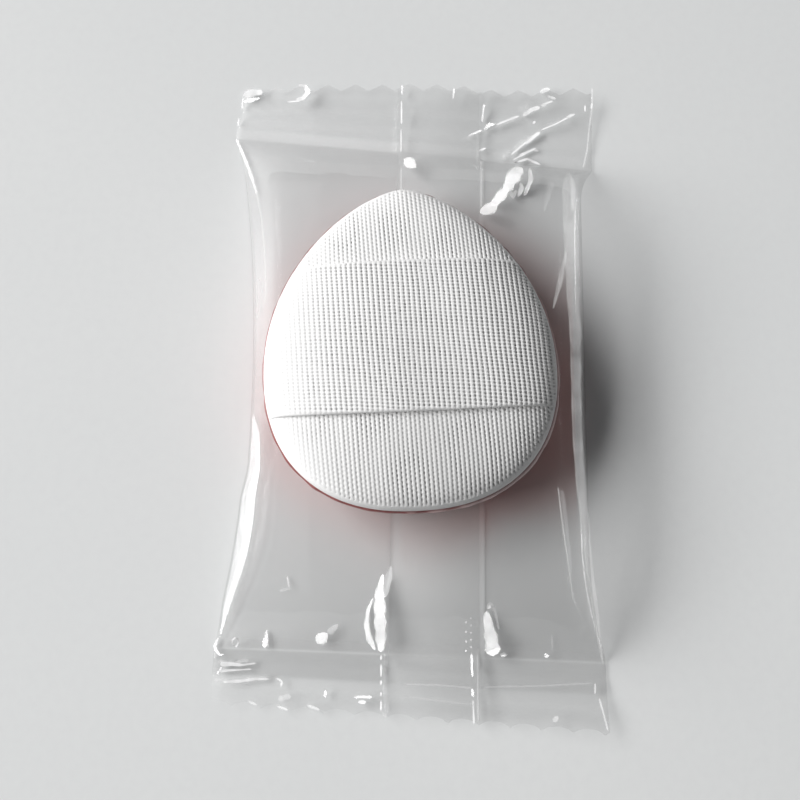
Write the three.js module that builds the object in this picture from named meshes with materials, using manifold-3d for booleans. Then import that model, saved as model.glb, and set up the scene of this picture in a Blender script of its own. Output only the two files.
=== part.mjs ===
// A small teardrop finger puff lying in its clear flow-wrapped sachet.
// Millimetres, +Z up. The sachet lies flat on Z = 0 with its length along Y. The puff's
// white cloth back faces up, its pink face faces down and its tip points to +Y.
import * as THREE from 'three';
import { mergeVertices } from 'three/addons/utils/BufferGeometryUtils.js';
import Module from 'manifold-3d';

const wasm = await Module();
wasm.setup();

// Sachet: one web of film, wrapped into a tube, joined in a fin under it, crimped at both ends
const filmGauge = 0.1;
const plyGap = 0.1; // between plies that lie on each other
const leftRoom = 1.7; // from the puff to the film, at the waist
const rightRoom = 3.75;
const topRoom = 0.95; // over the crown of the puff
const headRoom = 6.4; // from the puff's tip to the crimped band
const tailRoom = 14; // from its heel to the other band
const sideFlare = 3.95; // how much wider the tube is where it is pressed flat
const headSealDepth = 7.8; // crimped band at the +Y end, on the centre line, teeth included
const tailSealDepth = 6.8;
const headCutRise = 0.43; // how much further +Y each line lies at the right side
const headSealRise = -1.75;
const tailSealRise = -0.43;
const tailCutRise = -1.18;
const toothPitch = 3.175;
const toothDepth = 0.75;
const finWidth = 9.5;
const finRootX = -2.2; // where the two web edges meet and turn into the fin
const finStep = 1.0; // the run over which a ply climbs onto the fin
const finStepClearance = 0.4; // from the fin's edge to the foot of that climb
const headSwellLead = 6.6; // how far past the puff's tip and heel the film is at full height
const tailSwellLead = 1;
const leftHeadNeckRun = 31; // from the crimped band to the waist, along each side
const leftTailNeckRun = 26;
const rightHeadNeckRun = 6;
const rightTailNeckRun = 12;
const pillowCornerRun = 1.2; // how far the lower corners round in from the sides
const swellPower = 2.4;
const pillowPower = 7; // the film stands on its sides, with tight shoulders
const leftSideHeightShare = 0.05; // where each side stands out furthest, as a share of the height
const rightSideHeightShare = 0.3;
const leftLean = 0.3; // how far the left side leans in over the puff, for each millimetre it climbs
const leanPower = 4;
const cutLift = 0.35; // how far the ends' cut edges stand off the table
const tailCornerLift = 0.9; // how much further their right corners do
const headCornerLift = 0.5;
const cornerLiftStart = 4; // from the middle to where that lift starts
const cutOverrun = 1; // how far cutting bodies run past what they cut

// Puff: every piece follows one teardrop outline, a round heel and a longer rounded tip
const puffHalfWidth = 15.45; // at the face skin's side, without the weld
const puffTip = 20.55; // from the widest line to the tip
const puffHeel = 14.75; // from the widest line to the heel
const tipPower = 1.32;
const heelPower = 0.87;
const puffCentreX = -0.35; // the middle of the widest line
const puffTurn = THREE.MathUtils.degToRad(3.4);
const restGap = 0.15; // under the face, over the film that it lies on
const faceDepth = 3.7; // from the face to the underside of the weld
const weldGauge = 0.4;
const weldProud = 0.25;
const weldDepth = 0.9; // how far the weld reaches in from the skin's side
const backCrown = 3.75; // height of the cloth's dome above the weld
const skinGauge = 0.8;
const clothGauge = 0.4;
const barrierGauge = 0.2;
const layerGap = 0.15; // between the layers of the puff
const crownPower = 2.8; // roundness of the back's shoulders
const facePower = 3.2; // roundness of the face's edge

// Finger band: a ribbon of the same cloth across the back
const bandGauge = 0.4;
const bandTop = 11.3; // from the widest line to the band's edges
const bandBottom = -4.7;

// Facets
const outlineSteps = 44;
const shoulderSteps = 7;

// Heights
const finPly = filmGauge + plyGap;
const lowPlyZ = filmGauge / 2;
const foldedPlyZ = lowPlyZ + finPly;
const overFinZ = foldedPlyZ + finPly;
const faceZ = overFinZ + filmGauge / 2 + restGap;
const weldZ = faceZ + faceDepth;
const weldTopZ = weldZ + weldGauge;
const clothZ = weldTopZ + layerGap;
const pillowHeight = clothZ + backCrown + topRoom + filmGauge;

// Plan: the box round the sachet is centred on the origin
const puffReach = puffHalfWidth + weldProud;
const leftWaist = puffReach - puffCentreX + leftRoom;
const rightWaist = puffReach + puffCentreX + rightRoom;
const flatWidth = leftWaist + rightWaist + sideFlare;
const headSwellRun = headRoom + headSwellLead;
const tailSwellRun = tailRoom + tailSwellLead;
const clearLength = tailRoom + puffHeel + puffTip + 2 * weldProud + headRoom;
const headLength = headSealDepth + Math.abs(headCutRise);
const tailLength = tailSealDepth + Math.abs(tailCutRise);
const sachetLength = tailLength + clearLength + headLength;
const headCutY = sachetLength / 2 - Math.abs(headCutRise);
const tailCutY = -sachetLength / 2 + Math.abs(tailCutRise);
const headSealY = headCutY - headSealDepth;
const tailSealY = tailCutY + tailSealDepth;
const puffCentreY = tailSealY + tailRoom + weldProud + puffHeel;
const finEdgeX = finRootX + finWidth;

// Solids

function plain(geometry) {
  const bare = geometry.clone();
  bare.deleteAttribute('normal');
  bare.deleteAttribute('uv');
  return mergeVertices(bare);
}

function toManifold(geometry) {
  const merged = plain(geometry);
  return new wasm.Manifold(new wasm.Mesh({
    numProp: 3,
    vertProperties: new Float32Array(merged.attributes.position.array),
    triVerts: new Uint32Array(merged.index.array),
  }));
}

function toGeometry(solid) {
  const mesh = solid.getMesh();
  const geometry = new THREE.BufferGeometry();
  geometry.setAttribute('position', new THREE.BufferAttribute(mesh.vertProperties, 3));
  geometry.setIndex(new THREE.BufferAttribute(mesh.triVerts, 1));
  return geometry;
}

function closedGeometry(points, triangles) {
  const geometry = new THREE.BufferGeometry();
  geometry.setFromPoints(points);
  geometry.setIndex(triangles);
  return geometry;
}

// Two triangles for each cell between two rows of point numbers, wrapped round if closed
function stitch(triangles, rowA, rowB, wraps) {
  const cells = wraps ? rowA.length : rowA.length - 1;
  for (let i = 0; i < cells; i += 1) {
    const j = (i + 1) % rowA.length;
    triangles.push(rowA[i], rowA[j], rowB[j]);
    triangles.push(rowA[i], rowB[j], rowB[i]);
  }
}

// Puff

// A point of the teardrop outline, drawn in by inset and then scaled about its middle
function outlinePoint(angle, inset, spreadShare) {
  const across = Math.cos(angle);
  const along = Math.sin(angle);
  const power = along > 0 ? tipPower : heelPower;
  const reach = along > 0 ? puffTip : puffHeel;
  const alongShare = along > 0 ? along : -(Math.abs(along) ** heelPower);
  const x = (puffHalfWidth - inset) * Math.sign(across) * Math.abs(across) ** power;
  return new THREE.Vector2(x, (reach - inset) * alongShare).multiplyScalar(spreadShare);
}

// Rings of the outline, from the one at the rim to the last before the middle, along a
// superelliptic shoulder that climbs by height
function shoulder(inset, rimZ, height, power) {
  const rings = [];
  for (let i = 0; i < shoulderSteps; i += 1) {
    const lean = (i / shoulderSteps) * (Math.PI / 2);
    const spreadShare = Math.cos(lean);
    rings.push({ inset, spreadShare, z: rimZ + height * (1 - spreadShare ** power) ** (1 / power) });
  }
  return rings;
}

// A closed body through the rings in order, whose two ends close on the middle at startZ and endZ
function ringBody(startZ, rings, endZ) {
  const points = [new THREE.Vector3(0, 0, startZ)];
  const rows = rings.map(({ inset, spreadShare, z }) => {
    const row = [];
    for (let i = 0; i < outlineSteps; i += 1) {
      const at = outlinePoint((i / outlineSteps) * 2 * Math.PI, inset, spreadShare);
      row.push(points.length);
      points.push(new THREE.Vector3(at.x, at.y, z));
    }
    return row;
  });
  const end = points.length;
  points.push(new THREE.Vector3(0, 0, endZ));
  const triangles = [];
  stitch(triangles, rows[0].map(() => 0), rows[0], true);
  for (let r = 1; r < rows.length; r += 1) stitch(triangles, rows[r - 1], rows[r], true);
  stitch(triangles, rows[rows.length - 1], rows[0].map(() => end), true);
  const whole = [];
  for (let t = 0; t < triangles.length; t += 3) {
    const [a, b, c] = triangles.slice(t, t + 3);
    if (a !== b && b !== c && c !== a) whole.push(a, b, c);
  }
  return closedGeometry(points, whole);
}

// A shell that is open at its rim: out over one shoulder and back under the other
function bowl(outer, inner) {
  const outside = shoulder(outer.inset, outer.rimZ, outer.height, outer.power).reverse();
  const inside = shoulder(inner.inset, inner.rimZ, inner.height, inner.power);
  return ringBody(outer.rimZ + outer.height, [...outside, ...inside], inner.rimZ + inner.height);
}

function faceSkin() {
  const outer = { inset: 0, rimZ: weldZ - layerGap, height: -(faceDepth - layerGap), power: facePower };
  const inner = { ...outer, inset: skinGauge, height: outer.height + skinGauge };
  return facingOut(bowl(outer, inner));
}

// The back's shells lie one inside the next: cloth, then barrier, then the core
function backShell(depth, gauge) {
  const outer = { inset: depth, rimZ: clothZ, height: backCrown - depth - layerGap, power: crownPower };
  const inner = { ...outer, inset: depth + gauge, height: outer.height - gauge };
  return facingOut(bowl(outer, inner));
}

const clothDepth = bandGauge + layerGap;
const barrierDepth = clothDepth + clothGauge + layerGap;
const coreDepth = barrierDepth + barrierGauge + layerGap;

function foamCore() {
  const sideInset = Math.max(skinGauge + layerGap, coreDepth, weldDepth + layerGap);
  const skinTopZ = faceZ + skinGauge + layerGap;
  const under = shoulder(sideInset, weldZ, -(weldZ - skinTopZ), facePower).reverse();
  const over = shoulder(sideInset, clothZ, backCrown - coreDepth - layerGap, crownPower);
  return facingOut(ringBody(skinTopZ, [...under, ...over], clothZ + backCrown - coreDepth - layerGap));
}

function edgeWeld() {
  const ring = (inset, z) => ({ inset, spreadShare: 1, z });
  const outer = ringBody(weldZ, [ring(-weldProud, weldZ), ring(-weldProud, weldTopZ)], weldTopZ);
  const hole = ringBody(
    weldZ - cutOverrun,
    [ring(weldDepth, weldZ - cutOverrun), ring(weldDepth, weldTopZ + cutOverrun)],
    weldTopZ + cutOverrun,
  );
  return toGeometry(toManifold(facingOut(outer)).subtract(toManifold(facingOut(hole))));
}

// The band follows the back's dome, clear of the cloth, between its two long edges
function fingerBand() {
  const dome = (inset) => {
    const height = backCrown - inset;
    const rings = shoulder(inset, clothZ, height, crownPower);
    return toManifold(facingOut(ringBody(clothZ, rings, clothZ + height)));
  };
  const width = 2 * (puffHalfWidth + cutOverrun);
  const strip = new THREE.BoxGeometry(width, bandTop - bandBottom, 2 * (backCrown + cutOverrun));
  strip.translate(0, (bandTop + bandBottom) / 2, clothZ);
  return toGeometry(dome(0).subtract(dome(bandGauge)).intersect(toManifold(strip)));
}

function facingOut(geometry) {
  const positions = geometry.attributes.position;
  const index = geometry.index.array;
  const corner = (i) => new THREE.Vector3().fromBufferAttribute(positions, index[i]);
  let volume = 0;
  for (let t = 0; t < index.length; t += 3) volume += corner(t).dot(corner(t + 1).cross(corner(t + 2)));
  if (volume < 0) geometry.index.array.reverse();
  return geometry;
}

// Sachet

function swell(distance, run) {
  const short = 1 - THREE.MathUtils.clamp(distance / run, 0, 1);
  return 1 - short ** swellPower;
}

// Where the lines across the sachet lie: close together where the film swells up
const swellShares = [0.03, 0.08, 0.16, 0.27, 0.42, 0.62, 1];
const middleShares = [0.25, 0.5, 0.75];

// Lines inside the crimped bands, from the inner edge to the cut
const bandShares = [0.3, 0.6, 0.85];

function filmLines() {
  const line = (y, rise, lift = () => 0) => ({ y, rise, lift });
  const tail = swellShares.map((share) => {
    const away = share * tailSwellRun;
    return line(tailSealY + away, tailSealRise * (1 - swell(away, tailSwellRun)));
  });
  const head = swellShares.map((share) => {
    const away = share * headSwellRun;
    return line(headSealY - away, headSealRise * (1 - swell(away, headSwellRun)));
  });
  const from = tailSealY + tailSwellRun;
  const to = headSealY - headSwellRun;
  const { lerp } = THREE.MathUtils;
  const tailBand = [...bandShares, 1 + cutOverrun / tailSealDepth].map((share) => line(
    tailSealY - share * tailSealDepth,
    lerp(tailSealRise, tailCutRise, Math.min(share, 1)),
    (x) => endLift(share, tailCornerLift, x),
  ));
  const headBand = [...bandShares, 1 + cutOverrun / headSealDepth].map((share) => line(
    headSealY + share * headSealDepth,
    lerp(headSealRise, headCutRise, Math.min(share, 1)),
    (x) => endLift(share, headCornerLift, x),
  ));
  return [
    ...tailBand.reverse(),
    line(tailSealY, tailSealRise),
    ...tail,
    ...middleShares.map((share) => line(from + (to - from) * share, 0)),
    ...head.reverse(),
    line(headSealY, headSealRise),
    ...headBand,
  ];
}

// How high a crimped end stands off the table, at a share of the way from its inner edge to the cut
function endLift(share, cornerLift, x) {
  const { smoothstep } = THREE.MathUtils;
  const atCorner = share ** 2 * smoothstep(x, cornerLiftStart, flatWidth / 2);
  return cutLift * smoothstep(share, 0, 1) + cornerLift * atCorner;
}

// How high a ply runs above the table at x, because of the fin under it
function onFin(x) {
  const { smoothstep } = THREE.MathUtils;
  const foot = finStepClearance + finStep;
  const up = smoothstep(x, finRootX - foot, finRootX - finStepClearance);
  const down = smoothstep(x, finEdgeX + finStepClearance, finEdgeX + foot);
  return lowPlyZ + 2 * finPly * (up - down);
}

const sideSteps = 11;
const cornerSteps = 4;
const turnSteps = 4;
const innermostShare = 0.35; // where the sides' own spacing ends, from the centre to the side
const lowPlyShares = [0.8, 0.6, 0.4, 0.2]; // from the fin's foot to the right corner

// The web's centre line across the sachet, from one edge in the fin to the other
function filmSection(y) {
  const fromSeals = [y - tailSealY, headSealY - y];
  const full = Math.min(swell(fromSeals[0], tailSwellRun), swell(fromSeals[1], headSwellRun));
  const neck = (tailRun, headRun) => Math.min(swell(fromSeals[0], tailRun), swell(fromSeals[1], headRun));
  const half = flatWidth / 2 - filmGauge / 2;
  const left = half - neck(leftTailNeckRun, leftHeadNeckRun) * (flatWidth / 2 - leftWaist);
  const right = half - neck(rightTailNeckRun, rightHeadNeckRun) * (flatWidth / 2 - rightWaist);
  const height = THREE.MathUtils.lerp(finPly, pillowHeight - filmGauge, full);
  const leftZ = THREE.MathUtils.lerp(finPly / 2, height * leftSideHeightShare, full);
  const rightZ = THREE.MathUtils.lerp(finPly / 2, height * rightSideHeightShare, full);
  const cornerRun = THREE.MathUtils.lerp(finPly / 2, pillowCornerRun, full);
  const path = [];
  const add = (x, z) => path.push(new THREE.Vector2(x, z));
  const corner = (side, reach, sideZ, i) => {
    const turn = (i / cornerSteps) * (Math.PI / 2);
    add(side * (reach - cornerRun * (1 - Math.sin(turn))), lowPlyZ + sideZ * (1 - Math.cos(turn)));
  };
  const top = (x) => {
    const [reach, sideZ, lean] = x < 0 ? [left, leftZ, leftLean] : [right, rightZ, 0];
    const share = Math.min(Math.abs(x) / reach, 1);
    const climb = (height - sideZ) * (1 - share ** pillowPower) ** (1 / pillowPower);
    const base = THREE.MathUtils.lerp(onFin(x), lowPlyZ, full);
    add(x + lean * climb * share ** leanPower, base + sideZ + climb);
  };
  const outward = (i) => Math.sin((Math.PI / 2) * THREE.MathUtils.lerp(innermostShare, 1, i / sideSteps));

  for (const share of [1, 0.5, 0]) add(THREE.MathUtils.lerp(finRootX, finEdgeX, share), lowPlyZ);
  add((finRootX - left + cornerRun) / 2, lowPlyZ);
  for (let i = 0; i <= cornerSteps; i += 1) corner(-1, left, leftZ, i);
  for (let i = sideSteps - 1; i >= 0; i -= 1) top(-left * outward(i));
  const foot = finStepClearance + finStep;
  const overFin = [finRootX - foot, finRootX - finStepClearance];
  const footX = finEdgeX + foot;
  overFin.push((finRootX + finEdgeX) / 2, finEdgeX + finStepClearance, footX);
  for (const x of overFin) top(x);
  for (let i = 1; i < sideSteps; i += 1) top(right * outward(i));
  for (let i = cornerSteps; i >= 0; i -= 1) corner(1, right, rightZ, i);
  for (const share of lowPlyShares) add(THREE.MathUtils.lerp(footX, right - cornerRun, share), lowPlyZ);
  for (const x of [footX, finEdgeX + finStepClearance]) add(x, onFin(x));
  add((finRootX + finEdgeX) / 2, overFinZ);
  for (let i = 0; i <= turnSteps; i += 1) {
    const turn = (i / turnSteps) * Math.PI;
    const radius = finPly / 2;
    add(finRootX + radius - radius * Math.sin(turn), foldedPlyZ + radius + radius * Math.cos(turn));
  }
  add((finRootX + finEdgeX) / 2, foldedPlyZ);
  add(finEdgeX, foldedPlyZ);
  return path;
}

// The point's place on the web's two faces, half a gauge to each side of the path
function faces(path, i, face) {
  const before = path[Math.max(i - 1, 0)];
  const after = path[Math.min(i + 1, path.length - 1)];
  const into = path[i].clone().sub(before).normalize();
  const out = after.clone().sub(path[i]).normalize();
  const along = into.add(out).normalize();
  const cosine = i > 0 && i < path.length - 1 ? Math.max(along.dot(out), 1 / 2) : 1;
  return new THREE.Vector2(-along.y, along.x).multiplyScalar(face * (filmGauge / 2) / cosine).add(path[i]);
}

function filmWeb() {
  const points = [];
  const sheets = [-1, 1].map((face) => filmLines().map(({ y, rise, lift }) => {
    const path = filmSection(y);
    return path.map((_, i) => {
      const at = faces(path, i, face);
      points.push(new THREE.Vector3(at.x, y + rise * (at.x / (flatWidth / 2)), at.y + lift(at.x)));
      return points.length - 1;
    });
  }));
  const triangles = [];
  const facingBack = [];
  const [under, over] = sheets;
  for (let r = 1; r < under.length; r += 1) {
    stitch(triangles, under[r - 1], under[r], false);
    stitch(facingBack, over[r - 1], over[r], false);
  }
  triangles.push(...facingBack.reverse());
  const last = under.length - 1;
  const edge = (sheet, i) => sheet.map((row) => row[i < 0 ? row.length - 1 : i]);
  stitch(triangles, over[0], under[0], false);
  stitch(triangles, under[last], over[last], false);
  stitch(triangles, edge(under, 0), edge(over, 0), false);
  stitch(triangles, edge(over, -1), edge(under, -1), false);
  return facingOut(closedGeometry(points, triangles));
}

// What the saw-edged knife takes off past one end: its teeth follow the cut line's slant
function knife(cutY, rise, way) {
  const shape = new THREE.Shape();
  const reach = Math.ceil(flatWidth / 2 / toothPitch + 1);
  const at = (x, y) => [x, cutY + rise * (x / (flatWidth / 2)) + way * y];
  shape.moveTo(...at(-reach * toothPitch, 0));
  for (let i = -reach; i < reach; i += 1) {
    shape.lineTo(...at((i + 1 / 2) * toothPitch, -toothDepth));
    shape.lineTo(...at((i + 1) * toothPitch, 0));
  }
  shape.lineTo(...at(reach * toothPitch, 4 * cutOverrun));
  shape.lineTo(...at(-reach * toothPitch, 4 * cutOverrun));
  const block = new THREE.ExtrudeGeometry(shape, { depth: pillowHeight, bevelEnabled: false });
  block.translate(0, 0, -cutOverrun);
  return toManifold(facingOut(plain(block)));
}

function sachetFilm() {
  const web = toManifold(filmWeb());
  const head = knife(headCutY, headCutRise, 1);
  const tail = knife(tailCutY, tailCutRise, -1);
  return toGeometry(web.subtract(head).subtract(tail));
}

// Finishes

const finishes = {
  clearFilm: new THREE.MeshStandardMaterial({
    color: '#f1f3f3', roughness: 0.12, metalness: 0, transparent: true, opacity: 0.25,
  }),
  pinkSkin: new THREE.MeshStandardMaterial({ color: '#d99c98', roughness: 0.75, metalness: 0 }),
  weld: new THREE.MeshStandardMaterial({ color: '#b5605c', roughness: 0.6, metalness: 0 }),
  foam: new THREE.MeshStandardMaterial({ color: '#ead7cf', roughness: 0.95, metalness: 0 }),
  barrier: new THREE.MeshStandardMaterial({ color: '#e9e6df', roughness: 0.4, metalness: 0 }),
  ribbedCloth: new THREE.MeshStandardMaterial({ color: '#f2f0ef', roughness: 0.9, metalness: 0 }),
};

function piece(name, geometry, material) {
  const mesh = new THREE.Mesh(geometry, material.clone());
  mesh.name = name;
  return mesh;
}

const puff = new THREE.Group();
puff.position.set(puffCentreX, puffCentreY, 0);
puff.rotation.z = puffTurn;
puff.add(
  piece('face_skin', faceSkin(), finishes.pinkSkin),
  piece('foam_core', foamCore(), finishes.foam),
  piece('barrier_film', backShell(barrierDepth, barrierGauge), finishes.barrier),
  piece('back_cloth', backShell(clothDepth, clothGauge), finishes.ribbedCloth),
  piece('finger_band', fingerBand(), finishes.ribbedCloth),
  piece('edge_weld', edgeWeld(), finishes.weld),
);

const wrappedPuff = new THREE.Group();
wrappedPuff.add(piece('sachet_film', sachetFilm(), finishes.clearFilm), puff);

export default wrappedPuff;
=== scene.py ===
# Looks of a small teardrop finger puff lying in its clear flow-wrapped sachet.
# Sizes here are millimetres, as in the CAD source; MM turns them into the frame's metres.
from math import acos, cos, pi, radians, sin, sqrt, tan

import bpy
import numpy as np
from mathutils import Matrix, Vector


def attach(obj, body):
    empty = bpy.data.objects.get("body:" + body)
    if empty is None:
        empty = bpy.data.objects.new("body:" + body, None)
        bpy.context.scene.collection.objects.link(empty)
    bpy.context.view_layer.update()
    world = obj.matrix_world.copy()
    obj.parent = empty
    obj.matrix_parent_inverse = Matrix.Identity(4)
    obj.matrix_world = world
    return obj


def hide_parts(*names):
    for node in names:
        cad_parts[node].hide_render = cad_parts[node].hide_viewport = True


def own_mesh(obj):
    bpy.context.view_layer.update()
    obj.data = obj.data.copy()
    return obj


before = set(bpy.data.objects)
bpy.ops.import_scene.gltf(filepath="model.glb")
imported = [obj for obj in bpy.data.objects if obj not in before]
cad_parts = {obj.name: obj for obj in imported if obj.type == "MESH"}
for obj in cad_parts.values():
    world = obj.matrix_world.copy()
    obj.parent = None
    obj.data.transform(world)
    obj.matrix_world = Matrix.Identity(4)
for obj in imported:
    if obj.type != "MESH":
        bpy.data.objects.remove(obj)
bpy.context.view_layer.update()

MM = 0.001
SEED = 11

# Puff, as in the CAD source
PUFF_CENTRE = (-0.35, 0.775)
PUFF_TURN = radians(3.4)
HALF_WIDTH = 15.45
TIP_REACH = 20.55
HEEL_REACH = 14.75
TIP_POWER = 1.32
HEEL_POWER = 0.87
FACE_Z = 0.65
WELD_Z = 4.35
WELD_GAUGE = 0.4
LAYER_GAP = 0.15
CLOTH_Z = WELD_Z + WELD_GAUGE + LAYER_GAP
BACK_CROWN = 3.75
CLOTH_SINK = 0.55
BAND_TOP = 11.3
BAND_BOTTOM = -4.7
CROWN_POWER = 2.8
FACE_POWER = 3.2
SKIN_GAUGE = 0.8

# Sachet, as in the CAD source
FILM_GAUGE = 0.1
FIN_PLY = 0.2
LOW_PLY_Z = 0.05
PILLOW_HEIGHT = 9.7
LEFT_WAIST = 17.75
RIGHT_WAIST = 19.1
FLAT_WIDTH = 40.8
HEAD_CUT = 35.775
HEAD_SEAL = 27.975
TAIL_CUT = -35.025
TAIL_SEAL = -28.225
HEAD_CUT_RISE = 0.43
HEAD_SEAL_RISE = -1.75
TAIL_SEAL_RISE = -0.43
TAIL_CUT_RISE = -1.18
HEAD_SWELL_RUN = 13
TAIL_SWELL_RUN = 15
LEFT_HEAD_NECK_RUN = 31
LEFT_TAIL_NECK_RUN = 26
RIGHT_HEAD_NECK_RUN = 6
RIGHT_TAIL_NECK_RUN = 12
SWELL_POWER = 2.4
PILLOW_POWER = 7
RIGHT_SIDE_HEIGHT_SHARE = 0.3
RIGHT_CORNER_RUN = 1.2
LEFT_LEAN = 0.3
LEAN_POWER = 4
CUT_LIFT = 0.35
TAIL_CORNER_LIFT = 0.9
HEAD_CORNER_LIFT = 0.5
CORNER_LIFT_START = 4
FIN_ROOT = -2.2  # in x, and the seals and cuts in y
FIN_EDGE = 7.3
TOOTH_PITCH = 3.175
TOOTH_DEPTH = 0.75

# Sachet, in the scene alone
RIGHT_LEAN = 0.2  # how far the right wall leans in per millimetre of height
HEAD_BOW_OUT = 0.6
HEAD_BOW_UP = 0.6
HEAD_CORNER_FLARE = 0.65
HEAD_TOOTH_SHIFT = -0.85  # where the knife's teeth fall across each end
TAIL_TOOTH_SHIFT = 0.8
HEAD_TOOTH_SCALE = 1.15
EDGE_SLACK = 0.45  # how much further out the left edge runs where it is slack, beside the heel


# Camera and light

EYE = (-1.01, -27.04, 112.05)
TARGET = (-1.41, -1.17, 0.0)
WINDOW_AZIMUTH = radians(11.0)  # 0 is along -X, and it turns towards +Y
WINDOW_ELEVATION = radians(31.5)
WINDOW_WAY = Vector((
    -cos(WINDOW_AZIMUTH) * cos(WINDOW_ELEVATION),
    sin(WINDOW_AZIMUTH) * cos(WINDOW_ELEVATION),
    sin(WINDOW_ELEVATION),
))
WINDOW_DISTANCE = 2.2  # metres
WINDOW_SIZE = (2.4, 0.9)
WINDOW_POWER = 94
ROOM_LIGHT = 0.1
FLOOR = 3000
VIEW_LENS = 47.1
VIEW_ROLL = radians(0.9)


def make_camera():
    """The photo's view: a portrait lens from just below the middle, a little rolled."""
    data = bpy.data.cameras.new("view")
    data.sensor_width = 36.0
    data.lens = VIEW_LENS
    data.clip_start = 0.005
    data.clip_end = 20.0
    camera = bpy.data.objects.new("view", data)
    bpy.context.scene.collection.objects.link(camera)
    eye = Vector(EYE) * MM
    back = (eye - Vector(TARGET) * MM).normalized()
    right = Vector((-sin(VIEW_ROLL), cos(VIEW_ROLL), 0.0)).cross(back).normalized()
    up = back.cross(right)
    turned = Matrix((right, up, back)).transposed().to_4x4()
    camera.matrix_world = Matrix.Translation(eye) @ turned
    bpy.context.scene.camera = camera


def make_light():
    """A tall wide window on the object's left, and a faint room."""
    data = bpy.data.lights.new("window", "AREA")
    data.shape = "RECTANGLE"
    data.size, data.size_y = WINDOW_SIZE
    data.energy = WINDOW_POWER
    lamp = bpy.data.objects.new("window", data)
    bpy.context.scene.collection.objects.link(lamp)
    lamp.location = WINDOW_WAY * WINDOW_DISTANCE
    lamp.rotation_euler = WINDOW_WAY.to_track_quat("Z", "Y").to_euler()
    world = bpy.data.worlds.new("room")
    world.use_nodes = True
    background = world.node_tree.nodes["Background"]
    background.inputs["Color"].default_value = (0.97, 0.98, 1.0, 1.0)
    background.inputs["Strength"].default_value = ROOM_LIGHT
    bpy.context.scene.world = world
    bpy.context.scene.view_settings.view_transform = "Standard"


# Meshes

def new_mesh(name, points_mm, faces, **attributes):
    """A smooth piece. Each attribute is a list of arrays that hold a number for each point in turn."""
    mesh = bpy.data.meshes.new(name)
    mesh.from_pydata((np.asarray(points_mm) * MM).tolist(), [], [tuple(map(int, face)) for face in faces])
    mesh.validate()
    mesh.polygons.foreach_set("use_smooth", [True] * len(mesh.polygons))
    mesh.update()
    for key, values in attributes.items():
        layer = mesh.attributes.new(key, "FLOAT", "POINT")
        layer.data.foreach_set("value", np.concatenate(values).astype(np.float32))
    piece = bpy.data.objects.new(name, mesh)
    bpy.context.scene.collection.objects.link(piece)
    return piece


def grid_faces(rows, columns, first=0, wraps=False, closes=False):
    """Quads between rows of a grid whose points are numbered row by row. A grid that wraps joins each row's
    ends, and one that closes joins its last row to the first."""
    r, c = np.meshgrid(np.arange(rows - (not closes)), np.arange(columns - (not wraps)), indexing="ij")
    row, next_row, n = r * columns, (r + 1) % rows * columns, (c + 1) % columns
    return np.stack([row + c, row + n, next_row + n, next_row + c], -1).reshape(-1, 4) + first


def ease(value, low, high):
    """From 0 at low to 1 at high; low may be the larger."""
    t = np.clip((value - low) / (high - low), 0, 1)
    return t * t * (3 - 2 * t)


def between(value, low, low_end, high_start, high):
    """1 from low_end to high_start, with soft ends down to 0 outside low and high."""
    return ease(value, low, low_end) * ease(value, high, high_start)


class Waves:
    """A smooth random field: a sum of plane waves about one wavelength long."""

    def __init__(self, seed, wavelength, count=14):
        rng = np.random.default_rng(seed)
        turn = rng.uniform(0, 2 * pi, count)
        number = 2 * pi / (wavelength * rng.uniform(0.7, 1.6, count))
        self.kx, self.ky = number * np.cos(turn), number * np.sin(turn)
        self.phase = rng.uniform(0, 2 * pi, count)
        self.scale = sqrt(2 / count)

    def __call__(self, x, y):
        total = np.zeros(np.broadcast(x, y).shape)
        for kx, ky, phase in zip(self.kx, self.ky, self.phase):
            total += np.sin(kx * x + ky * y + phase)
        return total * self.scale


# Puff outline

def reach_at(y):
    return np.where(y > 0, TIP_REACH, HEEL_REACH)


def outline(angle, inset=0):
    across, along = np.cos(angle), np.sin(angle)
    power = np.where(along > 0, TIP_POWER, HEEL_POWER)
    reach = reach_at(along) - inset
    share = np.where(along > 0, along, -np.abs(along) ** HEEL_POWER)
    x = (HALF_WIDTH - inset) * np.sign(across) * np.abs(across) ** power
    return x, reach * share


def half_width_at(y):
    """The outline's half width at a distance y along it from the widest line."""
    tip = np.sqrt(np.clip(1 - (y / TIP_REACH) ** 2, 0, 1)) ** TIP_POWER
    heel_side = (np.clip(-y, 0, HEEL_REACH) / HEEL_REACH) ** (2 / HEEL_POWER)
    heel = np.clip(1 - heel_side, 0, 1) ** (HEEL_POWER / 2)
    return HALF_WIDTH * np.where(y > 0, tip, heel)


def spread_at(x, y):
    """How far out a point lies, from 0 in the middle to 1 on the outline."""
    x, y = np.abs(np.asarray(x, float)), np.asarray(y, float)
    low, high = np.full(x.shape, 1e-6), np.full(x.shape, 3)
    for _ in range(40):
        middle = (low + high) / 2
        power = 2 / np.where(y > 0, TIP_POWER, HEEL_POWER)
        along_power = np.where(y > 0, 2, 2 / HEEL_POWER)
        reach = reach_at(y)
        value = (x / (middle * HALF_WIDTH)) ** power + (np.abs(y) / (middle * reach)) ** along_power
        low, high = np.where(value > 1, middle, low), np.where(value > 1, high, middle)
    return (low + high) / 2


def dome(spread, height, power=CROWN_POWER):
    return height * np.clip(1 - np.clip(spread, 0, 1) ** power, 0, 1) ** (1 / power)


def into_puff(x, y):
    """The frame's coordinates to the puff's."""
    c, s = cos(PUFF_TURN), sin(PUFF_TURN)
    x, y = x - PUFF_CENTRE[0], y - PUFF_CENTRE[1]
    return c * x + s * y, c * y - s * x


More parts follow.
